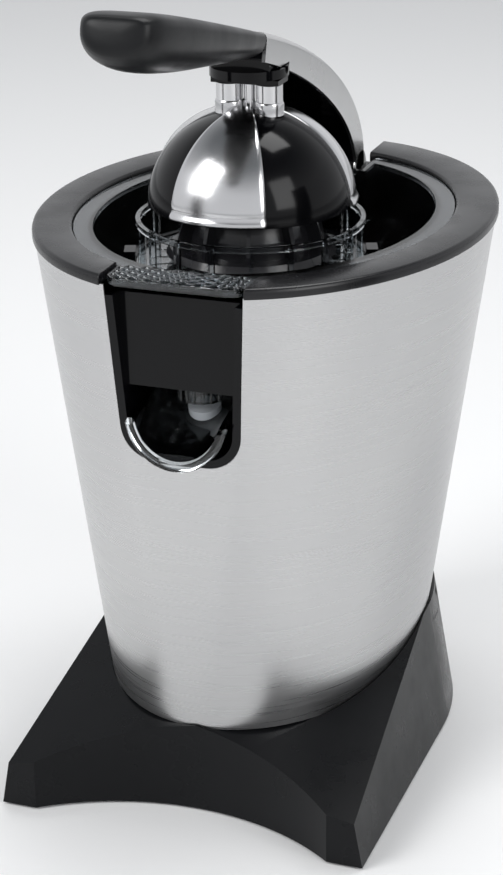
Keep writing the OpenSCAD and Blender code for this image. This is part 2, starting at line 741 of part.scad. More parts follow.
module motor_stator() color([0.45, 0.3, 0.2])
  translate([0, motor_y, 0]) ring_z(motor_r - 1.8, motor_r - 11, motor_low + 16, motor_len - 28);

module motor_rotor() color([0.6, 0.45, 0.3]) translate([0, motor_y, 0]) {
  translate([0, 0, motor_low - 4]) cylinder(r = motor_shaft_r, h = stage_a + stage_a_h - motor_low + 5);
  translate([0, 0, motor_low + 18]) cylinder(r = motor_r - 11.6, h = motor_len - 32);
}

module motor_pinion() color([0.8, 0.7, 0.4]) translate([0, motor_y, 0]) difference() {
  translate([0, 0, stage_a - 1]) gear(PINION_T, mod_a, stage_a_h + 2, 90);
  cylinder(r = motor_shaft_r, h = far);
}

module motor_fan() color([0.2, 0.2, 0.2]) translate([0, motor_y, motor_low + 4]) difference() {
  union() {
    cylinder(r = motor_r - 6, h = 1.5);
    cylinder(r = 6, h = 9);
    for (i = [0:7]) rotate([0, 0, i * 45]) translate([5, -0.6, 0]) cube([motor_r - 13, 1.2, 8]);
  }
  translate([0, 0, -1]) cylinder(r = motor_shaft_r, h = 20);
}

module motor_screws() color([0.6, 0.6, 0.62])
  for (sx = [-1, 1]) translate([sx * motor_screw_x, motor_y, 0]) {
    translate([0, 0, motor_top + 0.5])
      cylinder(r = screw_r, h = case_low + case_wall - motor_top - 0.4, $fn = 24);
    translate([0, 0, case_low + case_wall]) cylinder(r = 2.8, h = 1.6, $fn = 24);
  }

// ---------- bowl, strainer, reamer ----------

lip_front = face_y(rim_z) - 1.2;
module juice_bowl() color([0.85, 0.9, 0.92, 0.35]) difference() {
  union() {
    oval_plate(well_a - 0.6, well_b - 0.6, flange_low, flange_t, well_y);
    // Finger lip in the front gap of the ring
    intersection() {
      translate([0, 0, flange_low]) linear_extrude(flange_t + 0.6) hull() for (sx = [-1, 1]) {
        translate([sx * (gap_half - 9), lip_front + 9]) circle(8.4, $fn = 40);
        translate([sx * (gap_half - 4), well_y - well_b + 8]) circle(3, $fn = 24);
      }
      translate([-far / 2, -far, 0]) cube([far, far + well_y - bowl_b - 2, far]);
    }
    oval_taper(bowl_low_a + bowl_wall, bowl_low_b + bowl_wall, bowl_low_y, bowl_floor_low,
               bowl_a + bowl_wall, bowl_b + bowl_wall, well_y, flange_low + 1);
    translate([0, tube_y, tube_low]) cylinder(r = tube_r - 0.6, h = tube_len + 1);
    for (i = [0:15]) translate([0, tube_y, tube_low]) rotate([0, 0, i * 22.5]) translate([tube_r - 1, 0, 0])
      cylinder(r = 1, h = tube_len + 1, $fn = 16);
  }
  difference() {
    oval_taper(bowl_low_a, bowl_low_b, bowl_low_y, bowl_floor_low + bowl_wall,
               bowl_a, bowl_b, well_y, flange_low + flange_t + eps);
    translate([0, press_y, 0]) cylinder(r = tower_r, h = tower_top);
    pocket_box(notch_gap + bowl_wall);
  }
  pocket_box(notch_gap);
  translate([0, press_y, 0]) cylinder(r = tower_r - bowl_wall, h = tower_top - bowl_wall);
  translate([0, press_y, 0]) cylinder(r = shaft_r + 0.6, h = far);
  translate([0, tube_y, 0]) cylinder(r = tube_bore_r, h = far);
}
tower_r = bush_r + 2.5 + 1 + bowl_wall;
notch_gap = seat_gap + 0.4;

module strainer() color([0.85, 0.9, 0.92, 0.35]) translate([0, press_y, 0]) difference() {
  union() {
    translate([0, 0, strainer_low]) cylinder(r = strainer_r, h = strainer_t);
    ring_z(tower_r + 3, tower_r + 0.6, strainer_low - 8, 9);
    ring_z(strainer_r, strainer_r - 2, rim_z - 1, 2.5);
    for (i = [0:strainer_ribs - 1]) rotate([0, 0, (i + 0.5) * 360 / strainer_ribs])
      translate([strainer_r - 3, -1, strainer_low]) cube([2.6, 2, rim_z - strainer_low]);
    for (i = [0:3]) rotate([0, 0, 45 + i * 90]) translate([strainer_r - 9, 0, bowl_floor_low + bowl_wall + 0.3])
      cylinder(r = 3, h = strainer_low - bowl_floor_low - bowl_wall);
  }
  translate([0, 0, strainer_low - 1]) cylinder(r = shaft_r + 2, h = 5);
  for (i = [0:23]) rotate([0, 0, i * 15]) translate([reamer_r - 18, -0.8, strainer_low - 1])
    cube([26, 1.6, strainer_t + 2]);
}

// Black catch ring around the foot of the strainer
module strainer_ring() color([0.07, 0.07, 0.08]) translate([0, press_y, 0]) {
  difference() {
    ring_z(strainer_r + 3, strainer_r + 0.2, strainer_low - 2, 5);
  }
  for (i = [0:3]) rotate([0, 0, i * 90 + 20])
    translate([strainer_r + 0.3, -5, strainer_low - 2]) cube([5, 10, 9]);
}

reamer_rings = 12;
function reamer_profile(t) = reamer_r * (0.9 * pow(1 - pow(t, 1.7), 0.8));
module reamer_cone() color([0.1, 0.1, 0.11]) translate([0, press_y, 0]) difference() {
  union() {
    translate([0, 0, reamer_low]) cylinder(r1 = reamer_r, r2 = reamer_r - 1.5, h = 3);
    translate([0, 0, reamer_low]) rotate_extrude() polygon(concat(
      [[0, 0]],
      [for (i = [0:reamer_rings]) let (t = i / reamer_rings) [reamer_profile(t) * 0.82, 2 + (reamer_h - 5) * t]]));
    for (k = [0:9]) rotate([0, 0, k * 36]) translate([0, 0.9, reamer_low + 2]) rotate([90, 0, 0])
      linear_extrude(1.8) polygon(concat([[0, 0]],
        [for (i = [0:reamer_rings]) let (t = i / reamer_rings) [reamer_profile(t), (reamer_h - 2) * t]]));
  }
  translate([0, 0, reamer_low - 1]) cylinder(r = shaft_r + run_gap, h = 27.2);
  translate([0, 0, reamer_low - 1]) cylinder(r = 12, h = 3);
}

// ---------- spout ----------

// A bar of U section along the sloping trough, made smaller by inset
module trough_bar(inset, reach)
  translate([0, spout_y, spout_z]) rotate([trough_slope, 0, 0])
    translate([0, 0, -trough_low - trough_wall + trough_r]) {
      rotate([90, 0, 0]) translate([0, 0, -40]) cylinder(r = trough_r - inset, h = reach + 40);
      translate([-trough_r + inset, -reach, 0]) cube([2 * (trough_r - inset), reach + 40, 60]);
    }

module spout_trough() color([0.85, 0.9, 0.92, 0.35]) difference() {
  union() {
    intersection() {
      trough_bar(0, 150);
      side_extrude(trough_r) polygon([
        [spout_y + 3.5, trough_top], [trough_front + 3, trough_top], [trough_front - 1, mouth_low - 20],
        [spout_y + 3.5, mouth_low - 20]
      ]);
    }
    // Rolled lip at the front
    intersection() {
      trough_bar(-1.8, 150);
      side_extrude(trough_r + 2) polygon([
        [trough_front + 5.6, trough_top - 3], [trough_front + 2.6, trough_top - 3],
        [trough_front - 1, mouth_low - 20], [trough_front + 2, mouth_low - 20]
      ]);
    }
  }
  intersection() {
    trough_bar(trough_wall, 150);
    translate([-far / 2, -far + spout_y + 1.5 - 0.2, 0]) cube([far, far, far]);
    translate([-far / 2, -far / 2, 0]) cube([far, far, trough_top + 1]);
  }
  // Top edge that comes level under the well floor when the trough flips up
  translate([0, spout_y, spout_z]) rotate([trough_slope, 0, 0])
    translate([-far / 2, -far, well_floor_low - 0.5 - spout_z]) cube([far, far, far]);
  rod_x(spout_pin_r + run_gap, far, spout_y, spout_z);
}

module spout_pin() color([0.8, 0.8, 0.82]) rod_x(spout_pin_r, mouth_half_low - 1.2, spout_y, spout_z);

// Silicone plug on the trough floor that closes the tube when the trough flips up
module spout_pad() color([0.8, 0.82, 0.84]) intersection() {
  trough_bar(trough_wall, 150);
  translate([0, spout_y, spout_z]) rotate([trough_slope, 0, 0])
    translate([0, tube_y - spout_y, -trough_low]) cylinder(r = tube_bore_r + 1, h = pad_h);
}

// ---------- lever ----------

function bez(p, t) =
  pow(1 - t, 3) * p[0] + 3 * pow(1 - t, 2) * t * p[1] + 3 * (1 - t) * t * t * p[2] + pow(t, 3) * p[3];
function bez_dir(p, t) =
  3 * pow(1 - t, 2) * (p[1] - p[0]) + 6 * (1 - t) * t * (p[2] - p[1]) + 3 * t * t * (p[3] - p[2]);
// A point on the curve, moved off by d to the inside of the bend
function bez_off(p, t, d) = let (v = bez_dir(p, t), n = [v[1], -v[0]] / norm(v)) bez(p, t) + d * n;

arm_out = [
  [joint_y, joint_z], [joint_y + 54, joint_z - 14.5], [hinge_y + 9.5, hinge_z + 44], [hinge_y + 7.5, hinge_z]
];
arm_in = [
  [joint_y - 3, joint_z - 12], [joint_y + 44, joint_z - 25], [hinge_y - 8, hinge_z + 32], [hinge_y - 7, hinge_z]
];
ARM_N = 24;
function arm_outline(d_out, d_in) = concat(
  [for (i = [0:ARM_N]) bez_off(arm_out, i / ARM_N, d_out)],
  [for (i = [ARM_N:-1:0]) bez_off(arm_in, i / ARM_N, d_in)]);

module grip_frame() translate([0, joint_y, joint_z]) rotate([-grip_slope, 0, 0]) children();

module arm_cover() color([0.78, 0.78, 0.79]) difference() {
  union() {
    side_extrude(arm_half_w) polygon(arm_outline(0, 0));
    rod_x(hinge_boss_r, arm_half_w, hinge_y, hinge_z);
  }
  side_extrude(arm_half_w - arm_wall) polygon(arm_outline(arm_wall, 4));
  side_extrude(arm_half_w - arm_wall) polygon([
    [joint_y - 8, joint_z - 30], [joint_y + 4, joint_z - 30],
    [joint_y + 4, joint_z - 4 * tan(grip_slope) - arm_wall - 0.1],
    [joint_y - 8, joint_z + 8 * tan(grip_slope) - arm_wall - 0.1]
  ]);
  rod_x(hinge_boss_r + 0.6, arm_half_w - arm_wall, hinge_y, hinge_z);
  translate([-lug_half - 0.8, hinge_y - 20, hinge_z - 20]) cube([2 * lug_half + 1.6, 40, 20 + hinge_boss_r]);
  rod_x(hinge_pin_r, far, hinge_y, hinge_z);
  tongue(seat_gap);
  mount_envelope(0.3);
}
// Room for the dome mount in the lever
module mount_envelope(grow) translate([0, press_y, 0]) {
  cylinder(r = mount_r + grow, h = mount_z + mount_h + grow);
  translate([-block_half - grow, -block_depth - grow, 0])
    cube([2 * (block_half + grow), 2 * (block_depth + grow), block_top + grow]);
}

tongue_half = arm_half_w - arm_wall - 3;
tongue_len = 62;
// Tongue of the liner that carries the grip and the dome mount
module tongue(grow) grip_frame()
  translate([-tongue_half - grow, -tongue_len - grow, -9.5 - grow])
    cube([2 * (tongue_half + grow), tongue_len + 6 + grow, 7 + 2 * grow]);

module arm_liner() color([0.07, 0.07, 0.08]) difference() {
  union() {
    side_extrude(arm_half_w - arm_wall - 0.2) polygon(arm_outline(arm_wall + 0.2, -1.2));
    for (sx = [-1, 1]) translate([sx * (lug_half + 0.5 + cheek_t / 2), 0, 0])
      rod_x(hinge_boss_r, cheek_t / 2, hinge_y, hinge_z);
    tongue(0);
  }
  // Hollow on the inner side of the arm
  difference() {
    side_extrude(arm_half_w - arm_wall - 3) polygon(arm_outline(6, 6));
    translate([-far / 2, -far, 0]) cube([far, far + press_y + block_depth + 5, far]);
  }
  rod_x(hinge_boss_r + 0.6, lug_half + 0.5, hinge_y, hinge_z);
  translate([-lug_half - 0.5, hinge_y - 20, hinge_z - 20]) cube([2 * lug_half + 1, 40, 20 + hinge_boss_r]);
  rod_x(hinge_pin_r, far, hinge_y, hinge_z);
  for (s = grip_screw_at) grip_frame() translate([0, -s, -20]) cylinder(r = screw_r + 0.05, h = 18, $fn = 24);
  mount_envelope(0.02);
}
cheek_t = arm_half_w - arm_wall - 0.2 - lug_half - 0.5;
grip_screw_at = [48, 58];

module hinge_pin() color([0.8, 0.8, 0.82]) rod_x(hinge_pin_r, arm_half_w - 0.2, hinge_y, hinge_z);

// Half width, top and bottom of the grip at a distance along it
function superellipse(w, top, low, n = 2.6) = [for (i = [0:31]) let (a = 360 * i / 32, c = cos(a), s = sin(a))
  [w * sign(c) * pow(abs(c), 2 / n), (top + low) / 2 + (top - low) / 2 * sign(s) * pow(abs(s), 2 / n)]];

module grip_slice(s, w, top, low)
  translate([0, -s, 0]) rotate([90, 0, 0]) linear_extrude(eps) polygon(superellipse(w, top, low));

module grip() color([0.16, 0.16, 0.17]) difference() {
  grip_frame() hull() {
    grip_slice(0.3, arm_half_w, 0, -12);
    grip_slice(0.2 * grip_len, grip_half_w - 1.5, 0.3, -14.8);
    grip_slice(0.4 * grip_len, grip_half_w - 0.5, 0.5, -17.6);
    grip_slice(0.62 * grip_len, grip_half_w, 0.6, -20.6);
    grip_slice(0.82 * grip_len, grip_half_w - 0.5, 0.4, -22);
    grip_slice(0.94 * grip_len, grip_half_w - 2, -0.4, -20.5);
    grip_slice(grip_len, grip_front_w, -3, -17);
  }
  tongue(seat_gap);
  side_extrude(arm_half_w + 5) polygon([
    [joint_y - 2, joint_z - 40], [joint_y + 1.2, joint_z + 5],
    [joint_y + 30, joint_z + 5], [joint_y + 30, joint_z - 40]
  ]);
  for (s = grip_screw_at) grip_frame() translate([0, -s, -40]) {
    cylinder(r = screw_r + 0.1, h = 32, $fn = 24);
    cylinder(r = 3.2, h = 24.5, $fn = 24);
  }
}

module grip_screws() color([0.6, 0.6, 0.62])
  for (s = grip_screw_at) grip_frame() screw_up(0, -s, -15.5, screw_r, 9, 3, 1.6);

// ---------- press dome ----------

DOME_N = 20;
function dome_curve(r, h) = [for (i = [0:DOME_N]) let (a = 90 * i / DOME_N) [r * cos(a), h * sin(a)]];
module dome_skin(r, h, t) rotate_extrude($fn = 96) polygon(concat(
  dome_curve(r, h),
  [for (i = [DOME_N:-1:0]) dome_curve(r - t, h - t)[i]]));

yoke_half = block_half - 4.2;
module dome_mount() color([0.07, 0.07, 0.08]) difference() {
  union() {
    translate([0, press_y, mount_z]) cylinder(r = mount_r, h = mount_h);
    translate([-block_half, press_y - block_depth, mount_z])
      cube([2 * block_half, 2 * block_depth, block_top - mount_z]);
  }
  translate([-yoke_half - 0.6, press_y - 9, mount_z - 1]) cube([2 * yoke_half + 1.2, 18, tilt_z - mount_z + 4.9]);
  rod_x(tilt_pin_r, far, press_y, tilt_z);
}

module tilt_pin() color([0.8, 0.8, 0.82]) rod_x(tilt_pin_r, block_half - 0.2, press_y, tilt_z);

yoke_plate_low = mount_z - 3.2;
module dome_yoke() color([0.12, 0.12, 0.13]) difference() {
  union() {
    rod_x(3.2, yoke_half, press_y, tilt_z);
    translate([-yoke_half, press_y - 3.2, mount_z - 1.5]) cube([2 * yoke_half, 6.4, tilt_z - mount_z + 1.5]);
    translate([-post_half - post_r - 0.4, press_y - post_r - 0.4, yoke_plate_low])
      cube([2 * (post_half + post_r + 0.4), 2 * (post_r + 0.4), 2.2]);
  }
  rod_x(tilt_pin_r + run_gap, far, press_y, tilt_z);
}

module dome_posts() color([0.85, 0.85, 0.86])
  for (sx = [-1, 1]) translate([sx * post_half, press_y, 0]) {
    translate([0, 0, dome_top - 4.4]) cylinder(r = post_r, h = yoke_plate_low - dome_top + 4.4);
    translate([0, 0, dome_top - 4.4]) cylinder(r1 = post_r + 0.6, r2 = post_r, h = 4);
  }

module dome_rod() color([0.25, 0.25, 0.26])
  translate([0, press_y, dome_top - dome_t - 1]) cylinder(r = rod_r, h = yoke_plate_low - dome_top + dome_t + 1);
rod_r = post_half - post_r - 0.8;

module dome_core() color([0.05, 0.05, 0.06]) translate([0, press_y, dome_low]) difference() {
  dome_skin(dome_r - petal_t, dome_h - petal_t, dome_t);
  for (sx = [-1, 1]) translate([sx * post_half, 0, dome_h - 4.6]) cylinder(r = post_r + 1.1, h = 20);
  cylinder(r = rod_r + 0.02, h = far);
}

// Three steel petals over the black core
module dome_petals() color([0.82, 0.82, 0.83])
  for (k = [0:2]) difference() {
    translate([0, press_y, dome_low]) rotate([0, 0, -90 - petal_half + k * 120])
      rotate_extrude(angle = 2 * petal_half, $fn = 96) polygon(concat(
        [for (p = dome_curve(dome_r, dome_h)) if (p[0] > 3) p],
        [for (i = [DOME_N:-1:0]) let (p = dome_curve(dome_r - petal_t + 0.06, dome_h - petal_t + 0.06)[i])
          if (p[0] > 3) p]));
    for (sx = [-1, 1]) translate([sx * post_half, press_y, dome_low + dome_h - 8])
      cylinder(r = post_r + 1.1, h = 20);
  }

base();
rubber_feet();
bottom_cover();
cover_screws();
inner_frame();
frame_screws();
body_shell();
spout_recess();
rim_ring();
deck();
deck_screws();
hinge_bracket();
bracket_screws();
gearbox_case();
gearbox_lid();
gearbox_screws();
output_bush();
shaft_seal();
lay_pin();
lay_gear();
output_gear();
drive_shaft();
press_spring();
microswitch();
switch_plunger();
motor_can();
motor_cap();
motor_stator();
motor_rotor();
motor_pinion();
motor_fan();
motor_screws();
cord_gland();
juice_bowl();
strainer();
strainer_ring();
reamer_cone();
spout_trough();
spout_pin();
spout_pad();
hinge_pin();
arm_cover();
arm_liner();
grip();
grip_screws();
dome_mount();
tilt_pin();
dome_yoke();
dome_posts();
dome_rod();
dome_core();
dome_petals();
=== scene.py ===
"""Looks of the lever citrus press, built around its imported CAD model. Lengths in mm."""

import math

import bmesh
import bpy
from mathutils import Matrix, Vector


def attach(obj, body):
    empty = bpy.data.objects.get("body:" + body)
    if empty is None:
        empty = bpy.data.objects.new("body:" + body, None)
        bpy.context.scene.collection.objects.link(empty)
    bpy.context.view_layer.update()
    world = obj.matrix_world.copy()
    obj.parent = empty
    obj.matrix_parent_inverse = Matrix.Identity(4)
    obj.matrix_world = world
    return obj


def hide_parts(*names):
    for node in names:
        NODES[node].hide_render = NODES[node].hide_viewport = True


MM = 0.001
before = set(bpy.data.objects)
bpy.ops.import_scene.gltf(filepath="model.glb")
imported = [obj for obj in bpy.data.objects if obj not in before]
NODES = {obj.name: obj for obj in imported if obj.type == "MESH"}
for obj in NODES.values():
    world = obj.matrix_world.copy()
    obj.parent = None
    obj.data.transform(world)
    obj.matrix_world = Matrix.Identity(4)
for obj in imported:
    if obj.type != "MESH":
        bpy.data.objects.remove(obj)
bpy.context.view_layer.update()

# ---------- dimensions shared with the CAD source ----------

SEAT, RING_LOW, RIM_TOP = 41.7, 247.5, 252.0
SHELL = 1.0
MOUTH_TOP, MOUTH_LOW_HALF, MOUTH_LOW, MOUTH_R = 30.3, 26.7, 170.0, 16.0
GAP_HALF = 31.0
WELL_A, WELL_B, WELL_Y = 82.0, 104.0, -3.0
HINGE_Y, HINGE_Z = 90.0, 247.0
NOTCH_HALF, NOTCH_LOW, NOTCH_Y = 16.5, 241.0, 79.5
PRESS_Y = -23.8
JOINT_Y, JOINT_Z, SLOPE = -42.5, 337.8, 14.5
MOUNT_R, MOUNT_TOP = 17.0, 319.5
SPOUT_Y, SPOUT_Z, TROUGH_SLOPE = -68.8, 198.3, 14.0
TROUGH_R, TROUGH_AXIS, TROUGH_BOTTOM = 21.0, 7.6, -13.4
PAD_FRONT, PAD_BACK, PAD_HALF, PAD_LOW, PAD_TOP = -117.4, -99.6, 30.0, 248.2, 249.3
DOME_R, DOME_H, DOME_LOW = 47.0, 43.0, 260.0
PETAL_HALF = 28.0
ARM_HALF, ARM_WALL = 15.0, 1.6
GRIP_LEN = 126.0
TOE_REACH, ARCH_DEPTH, ARCH_R = 125.0, 23.0, 112.02
BASE_HALF, LEAN, TOE_H, RIDGE_H = 84.4, 0.183, 22.0, 59.0
SKIRT = 113.0


def lerp(a, b, t):
    return a + (b - a) * t


def level(z):
    return (z - SEAT) / (RING_LOW - SEAT)


def half_w(z):
    return lerp(70.4, 99.0, level(z))


def half_d(z):
    return lerp(101.0, 124.0, level(z))


def face_y(z):
    return lerp(-101.2, -116.6, level(z))


# ---------- mesh helpers ----------


def new_object(name, verts, faces):
    mesh = bpy.data.meshes.new(name)
    mesh.from_pydata([(x * MM, y * MM, z * MM) for x, y, z in verts], [], faces)
    obj = bpy.data.objects.new(name, mesh)
    bpy.context.scene.collection.objects.link(obj)
    bm = bmesh.new()
    bm.from_mesh(mesh)
    bmesh.ops.remove_doubles(bm, verts=bm.verts, dist=1e-6)
    bmesh.ops.recalc_face_normals(bm, faces=bm.faces)
    bm.to_mesh(mesh)
    bm.free()
    return obj


def loft(name, rows, caps=True, wrap=False):
    """Skin over rows of closed loops with the same number of points each."""
    n, m = len(rows[0]), len(rows)
    verts = [p for row in rows for p in row]
    faces = []
    for i in range(m if wrap else m - 1):
        a, b = i * n, ((i + 1) % m) * n
        faces += [(a + j, a + (j + 1) % n, b + (j + 1) % n, b + j) for j in range(n)]
    if caps and not wrap:
        faces += [tuple(range(n)), tuple(range((m - 1) * n, m * n))]
    return new_object(name, verts, faces)


def prism(name, outline, axis, lo, hi):
    """A flat outline pushed along an axis from lo to hi."""
    def place(p, d):
        return {"x": (d, p[0], p[1]), "y": (p[0], d, p[1]), "z": (p[0], p[1], d)}[axis]
    return loft(name, [[place(p, lo) for p in outline], [place(p, hi) for p in outline]])


def block(name, lo, hi):
    outline = [(lo[0], lo[1]), (hi[0], lo[1]), (hi[0], hi[1]), (lo[0], hi[1])]
    return prism(name, outline, "z", lo[2], hi[2])


def turned(name, profile, x=0.0, y=0.0, steps=96):
    """Turned solid about an upright axis; profile of radius and height pairs, closed."""
    rows = []
    for i in range(steps):
        a = math.tau * i / steps
        rows.append([(x + r * math.cos(a), y + r * math.sin(a), z) for r, z in profile])
    return loft(name, rows, wrap=True)


def rod(name, radius, half, y, z, x=0.0, soft=0.6, steps=64):
    """Round bar along X with softened ends."""
    profile = [(-half, 0.01), (-half, radius - soft), (-half + soft * 0.3, radius - soft * 0.3),
               (-half + soft, radius), (half - soft, radius),
               (half - soft * 0.3, radius - soft * 0.3), (half, radius - soft), (half, 0.01)]
    rows = []
    for i in range(steps):
        a = math.tau * i / steps
        rows.append([(x + d, y + r * math.cos(a), z + r * math.sin(a)) for d, r in profile])
    return loft(name, rows, wrap=True)


def settle(obj):
    """Applies the modifiers that are on the object so far."""
    graph = bpy.context.evaluated_depsgraph_get()
    mesh = bpy.data.meshes.new_from_object(obj.evaluated_get(graph))
    obj.modifiers.clear()
    obj.data = mesh
    return obj


def carve(obj, *cutters, operation="DIFFERENCE"):
    for cutter in cutters:
        mod = obj.modifiers.new("carve", "BOOLEAN")
        mod.object, mod.operation, mod.solver = cutter, operation, "EXACT"
    settle(obj)
    for cutter in cutters:
        bpy.data.objects.remove(cutter)
    return obj


def soften(obj, width=0.0, angle=35.0, segments=3, smooth=35.0):
    """Smooth shading with real rounded edges."""
    obj.data.shade_smooth()
    obj.data.set_sharp_from_angle(angle=math.radians(smooth))
    if width:
        mod = obj.modifiers.new("bevel", "BEVEL")
        mod.width, mod.segments = width * MM, segments
        mod.limit_method, mod.angle_limit = "ANGLE", math.radians(angle)
        mod.harden_normals = True
        mod.use_clamp_overlap = True
    return obj


def place(obj, body, slot, material, *nodes):
    obj.data.materials.clear()
    obj.data.materials.append(material)
    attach(obj, body)
    if nodes:
        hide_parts(*nodes)
    return obj


# ---------- materials ----------


class Shader:
    """A Principled material with helpers for procedural detail."""

    def __init__(self, name, color, rough, metallic=0.0, **inputs):
        self.mat = bpy.data.materials.new(name)
        self.mat.use_nodes = True
        self.tree = self.mat.node_tree
        self.bsdf = self.tree.nodes["Principled BSDF"]
        self.set("Base Color", (*color, 1.0))
        self.set("Roughness", rough)
        self.set("Metallic", metallic)
        for key, value in inputs.items():
            self.set(key.replace("_", " "), value)
        self.color, self.rough = color, rough
        self.height = None

    def set(self, key, value):
        self.bsdf.inputs[key].default_value = value

    def node(self, kind, **values):
        n = self.tree.nodes.new(kind)
        for key, value in values.items():
            setattr(n, key, value)
        return n

    def noise(self, scale, stretch=(1, 1, 1), detail=4.0, rough=0.55):
        coord = self.node("ShaderNodeTexCoord")
        mapping = self.node("ShaderNodeMapping")
        mapping.inputs["Scale"].default_value = stretch
        tex = self.node("ShaderNodeTexNoise")
        tex.inputs["Scale"].default_value = scale
        tex.inputs["Detail"].default_value = detail
        tex.inputs["Roughness"].default_value = rough
        self.tree.links.new(coord.outputs["Object"], mapping.inputs["Vector"])
        self.tree.links.new(mapping.outputs["Vector"], tex.inputs["Vector"])
        return tex.outputs["Fac"]

    def remap(self, value, lo, hi, from_lo=0.3, from_hi=0.7):
        n = self.node("ShaderNodeMapRange")
        for key, v in zip(("From Min", "From Max", "To Min", "To Max"), (from_lo, from_hi, lo, hi)):
            n.inputs[key].default_value = v
        self.tree.links.new(value, n.inputs["Value"])
        return n.outputs["Result"]

    def vary_rough(self, value, spread):
        out = self.remap(value, self.rough - spread, self.rough + spread)
        self.tree.links.new(out, self.bsdf.inputs["Roughness"])
        return self

    def vary_color(self, value, other):
        mix = self.node("ShaderNodeMix", data_type="RGBA")
        self.tree.links.new(self.remap(value, 0.0, 1.0), mix.inputs["Factor"])
        mix.inputs["A"].default_value = (*self.color, 1.0)
        mix.inputs["B"].default_value = (*other, 1.0)
        self.tree.links.new(mix.outputs["Result"], self.bsdf.inputs["Base Color"])
        return self

    def bump(self, value, distance, strength=1.0):
        n = self.node("ShaderNodeBump")
        n.inputs["Distance"].default_value = distance * MM
        n.inputs["Strength"].default_value = strength
        self.tree.links.new(value, n.inputs["Height"])
        if self.height is not None:
            self.tree.links.new(self.height, n.inputs["Normal"])
        self.height = n.outputs["Normal"]
        self.tree.links.new(self.height, self.bsdf.inputs["Normal"])
        return self


def steel_brushed():
    s = Shader("steel_brushed", (0.53, 0.53, 0.53), 0.30, 1.0, Anisotropic=0.3)
    grain = s.noise(1.0, (14, 14, 3200), 3.0)
    s.vary_rough(s.noise(1.0, (12, 12, 1400), 2.0), 0.05)
    s.vary_color(s.noise(9.0, detail=3.0), (0.50, 0.50, 0.505))
    s.bump(grain, 0.004, 0.4)
    return s.mat


def steel_satin():
    s = Shader("steel_satin", (0.56, 0.56, 0.56), 0.25, 1.0)
    s.vary_rough(s.noise(40.0), 0.04).bump(s.noise(2500.0, detail=2.0), 0.006, 0.5)
    return s.mat


def steel_polished():
    s = Shader("steel_polished", (0.62, 0.62, 0.63), 0.19, 1.0)
    s.vary_rough(s.noise(60.0), 0.04).bump(s.noise(1.0, (900, 900, 30), 2.0), 0.003, 0.5)
    return s.mat


def moulded(name, color, rough, grain=0.03, spread=0.06, tone=1.25, grain_scale=1400.0, **more):
    """Moulded plastic: fine texture, slight tone and gloss changes."""
    s = Shader(name, color, rough, 0.0, **more)
    s.vary_color(s.noise(22.0), tuple(min(1.0, c * tone) for c in color))
    s.vary_rough(s.noise(55.0), spread)
    if grain:
        s.bump(s.noise(grain_scale, detail=2.0), grain, 0.7)
    return s.mat


def clear_plastic(name, tint, rough=0.05, ripple=0.05):
    s = Shader(name, tint, rough, 0.0, Transmission_Weight=1.0, IOR=1.47)
    s.vary_rough(s.noise(70.0), 0.02)
    s.bump(s.noise(45.0, detail=2.0), ripple, 0.5)
    return s.mat


def metal(name, color, rough, scale=300.0):
    s = Shader(name, color, rough, 1.0)
    s.vary_rough(s.noise(scale), 0.08).bump(s.noise(scale * 3, detail=2.0), 0.01, 0.5)
    return s.mat


M = {
    "brushed_steel": steel_brushed(),
    "arm_silver": steel_satin(),
    "polished_steel": steel_polished(),
    "black_base": moulded("black_base", (0.0045, 0.0048, 0.0055), 0.30, 0.014, Specular_IOR_Level=0.16),
    "black_gloss": moulded("black_gloss", (0.0015, 0.0015, 0.002), 0.12, 0.004, 0.03, Specular_IOR_Level=0.2),
    "rim_plastic": moulded("rim_plastic", (0.006, 0.006, 0.007), 0.26, 0.010, Specular_IOR_Level=0.4),
    "grip_plastic": moulded("grip_plastic", (0.006, 0.0063, 0.007), 0.36, 0.03, Specular_IOR_Level=0.22),
    "rubber": moulded("rubber", (0.010, 0.010, 0.010), 0.75, 0.06, Specular_IOR_Level=0.25),
    "smoke_plastic": moulded("smoke_plastic", (0.012, 0.012, 0.014), 0.22, 0.006, Specular_IOR_Level=0.4),
    "white_plastic": moulded("white_plastic", (0.82, 0.81, 0.78), 0.35, 0.01, tone=0.95),
    "frame_plastic": moulded("frame_plastic", (0.55, 0.54, 0.50), 0.5, 0.03, tone=0.9),
    "gear_plastic": moulded("gear_plastic", (0.75, 0.72, 0.62), 0.4, 0.02, tone=0.92),
    "silicone": moulded("silicone", (0.62, 0.65, 0.68), 0.42, 0.02, tone=1.08),
    "clear_plastic": clear_plastic("clear_plastic", (0.86, 0.90, 0.92)),
    "smoky_plastic": clear_plastic("smoky_plastic", (0.50, 0.53, 0.55), 0.10),
    "screw_steel": metal("screw_steel", (0.60, 0.60, 0.61), 0.28),
    "bronze": metal("bronze", (0.62, 0.42, 0.20), 0.38),
    "motor_steel": metal("motor_steel", (0.45, 0.46, 0.47), 0.42),
    "copper": metal("copper", (0.72, 0.33, 0.16), 0.32),
}


# ---------- housing ----------


def soft_face(y, flat, k=0.25):
    """The front flat blended into the oval over a soft crease."""
    d = (y - flat) / k
    return y if d > 40 else flat + k * math.log1p(math.exp(d))


def shell_row(z, inset, steps=288):
    a, b, flat = half_w(z) - inset, half_d(z) - inset, face_y(z) + inset
    row = []
    for i in range(steps):
        t = math.tau * i / steps
        row.append((a * math.cos(t), soft_face(b * math.sin(t), flat), z))
    return row


